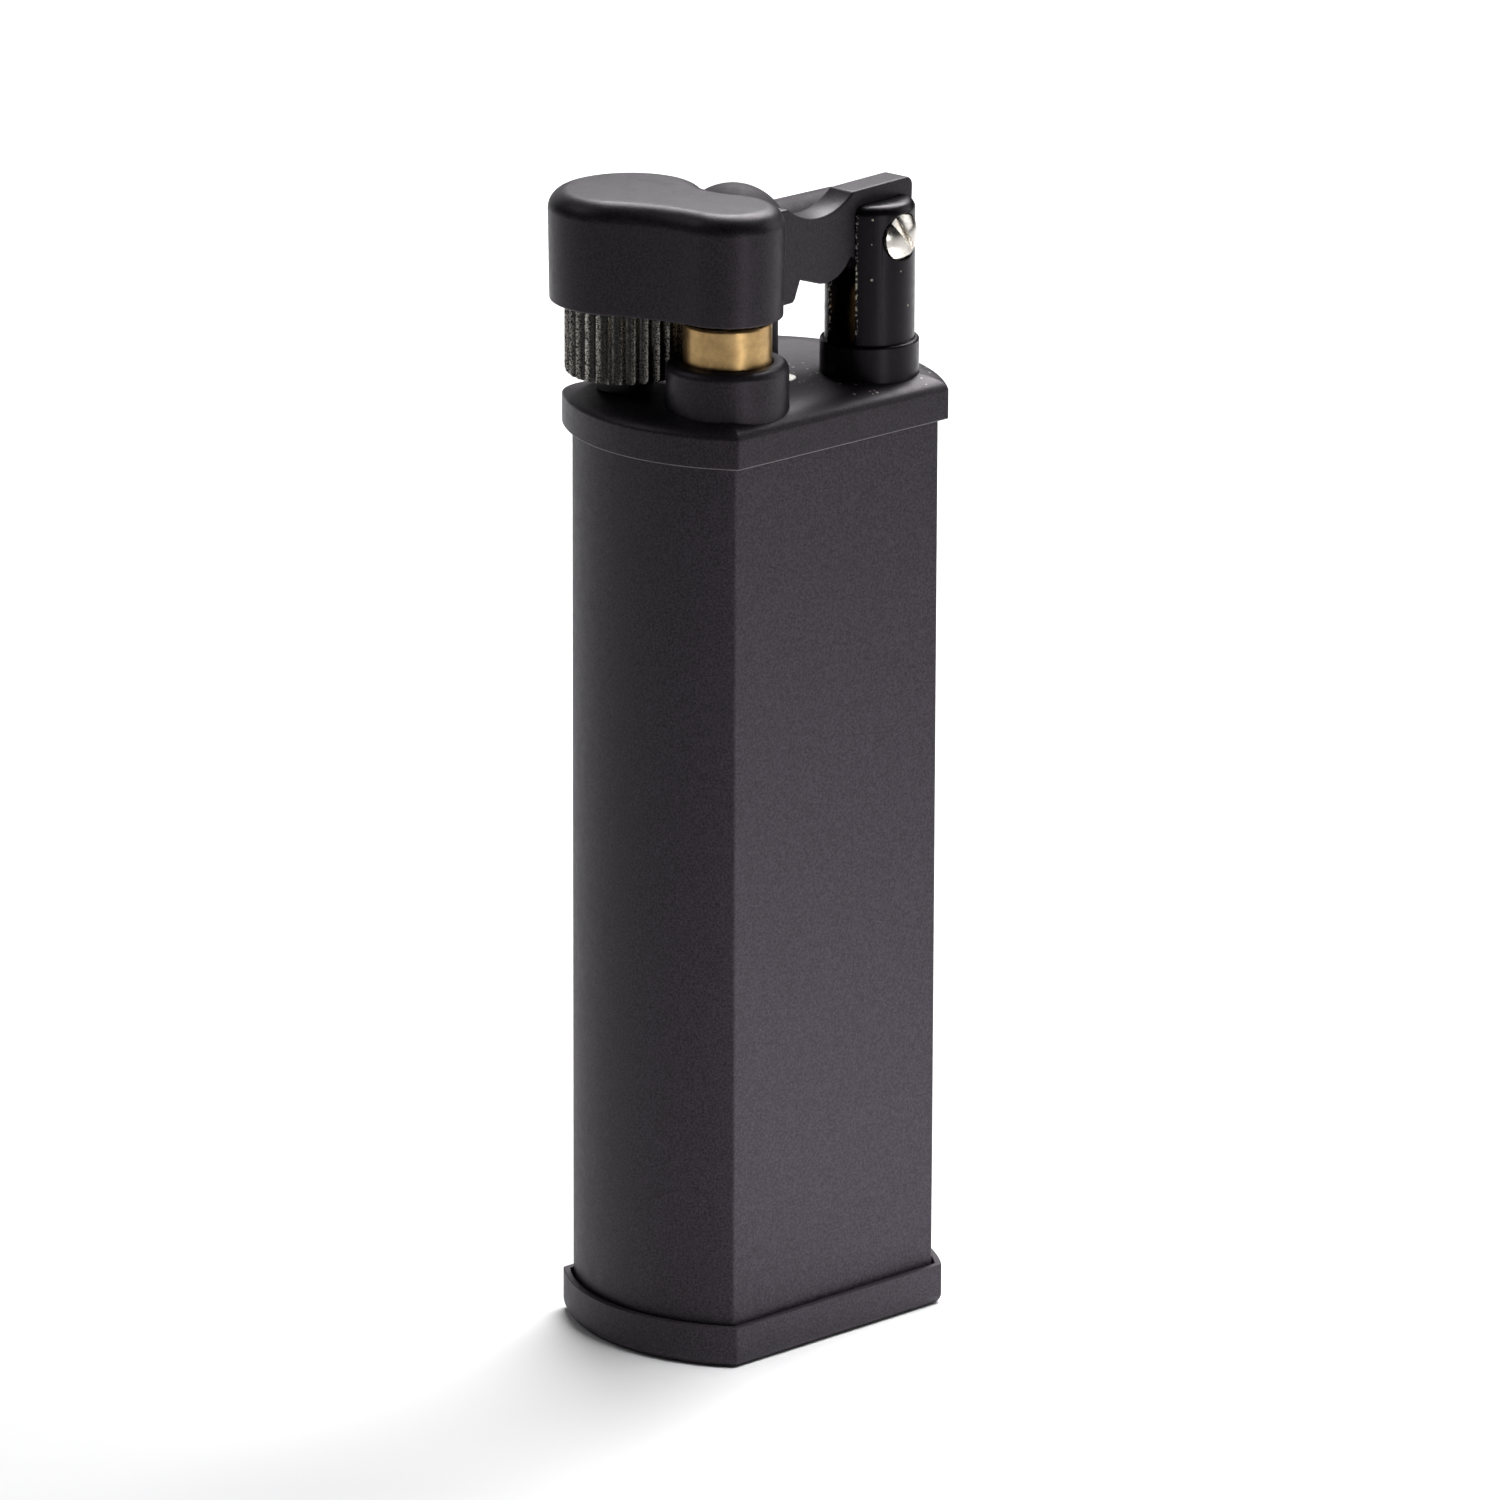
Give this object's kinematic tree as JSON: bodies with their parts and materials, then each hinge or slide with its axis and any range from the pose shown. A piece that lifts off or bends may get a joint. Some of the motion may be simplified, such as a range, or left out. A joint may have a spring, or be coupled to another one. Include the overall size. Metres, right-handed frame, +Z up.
{
  "type": "pipe lighter",
  "caption": "Slim upright metal gas lighter with a side thumb roller, a hinged bean-shaped snuffer arm on a slotted post and a brass burner.",
  "frame": {"origin": "centre of the base underside", "axes": "+Z up, +X towards the arm's hinge post, -Y out of the front flat"},
  "size_m": [0.0232, 0.016, 0.0709],
  "materials": {
    "matte_black": "matte powder coat",
    "gloss_black": "gloss black enamel",
    "brass": "turned, satin",
    "nickel": "nickel plated",
    "dark_nickel": "dark nickel plated",
    "spring_steel": "drawn wire",
    "black_rubber": "moulded",
    "tank_plastic": "moulded nylon",
    "filter_felt": "pressed felt",
    "cast_alloy": "die cast",
    "flint_alloy": "pressed alloy"
  },
  "bodies": {
    "lighter_body": {"base_cap": "matte_black", "body_tube": "matte_black", "top_cap": "matte_black", "mechanism_block": "cast_alloy", "tank_shell": "tank_plastic", "tank_floor": "tank_plastic", "tank_seal": "black_rubber", "valve_body": "brass", "valve_oring": "black_rubber", "wick_filter": "filter_felt", "burner_housing": "matte_black", "burner_spring": "spring_steel", "adjuster_tube": "brass", "refill_valve_body": "brass", "refill_gasket": "black_rubber", "refill_spring": "spring_steel", "hinge_post": "gloss_black", "post_plug": "brass", "arm_spring": "spring_steel", "pivot_screw": "nickel", "roller_axle": "nickel", "roller_washer": "nickel", "flint_tower": "matte_black", "flint_tube": "matte_black", "flint": "flint_alloy", "flint_follower": "brass", "flint_spring": "spring_steel", "cap_pin": "nickel"},
    "arm": {"lift_arm": "matte_black", "snuffer_pad": "black_rubber"},
    "burner_valve": {"burner": "brass", "burner_nozzle": "nickel", "stem_seal": "black_rubber"},
    "plunger": {"arm_plunger": "brass"},
    "roller": {"thumb_roller": "dark_nickel", "flint_wheel": "dark_nickel"},
    "adjuster": {"flame_adjuster": "brass", "adjuster_rod": "brass"},
    "refill_stem": {"refill_pin": "tank_plastic"},
    "flint_plug": {"flint_screw": "matte_black"}
  },
  "joints": [
    {"name": "arm_lift", "type": "hinge", "parent": "lighter_body", "child": "arm", "pos_m": [0.00605, -0.0035, 0.0673], "axis": [-0.0872, 0.9962, 0], "range_deg": [0, 95]},
    {"name": "burner_rise", "type": "slide", "parent": "lighter_body", "child": "burner_valve", "axis": [0, 0, 1], "range_m": [0, 0.0006], "deforming": ["burner_spring"]},
    {"name": "plunger_travel", "type": "slide", "parent": "lighter_body", "child": "plunger", "axis": [0, 0, 1], "range_m": [-0.00034, 0], "deforming": ["arm_spring"]},
    {"name": "roller_spin", "type": "hinge", "parent": "lighter_body", "child": "roller", "pos_m": [-0.00733, 0.0036, 0.062], "axis": [0, 0, 1], "continuous": true},
    {"name": "flame_turn", "type": "hinge", "parent": "lighter_body", "child": "adjuster", "pos_m": [-0.00565, -0.00355, 0.003], "axis": [0, 0, 1], "range_deg": [-135, 135]},
    {"name": "refill_press", "type": "slide", "parent": "lighter_body", "child": "refill_stem", "axis": [0, 0, 1], "range_m": [0, 0.0015], "stiffness_N_per_m": 300, "deforming": ["refill_spring"]},
    {"name": "flint_screw_turn", "type": "hinge", "parent": "lighter_body", "child": "flint_plug", "pos_m": [0.0102, 0.0036, 0.06595], "axis": [1, 0, 0], "range_deg": [0, 360]}
  ],
  "couplings": [
    {"joint": "burner_rise", "follows": "arm_lift", "m_per_rad": 0.00036},
    {"joint": "plunger_travel", "follows": "arm_lift", "m_per_rad": -0.0002}
  ]
}
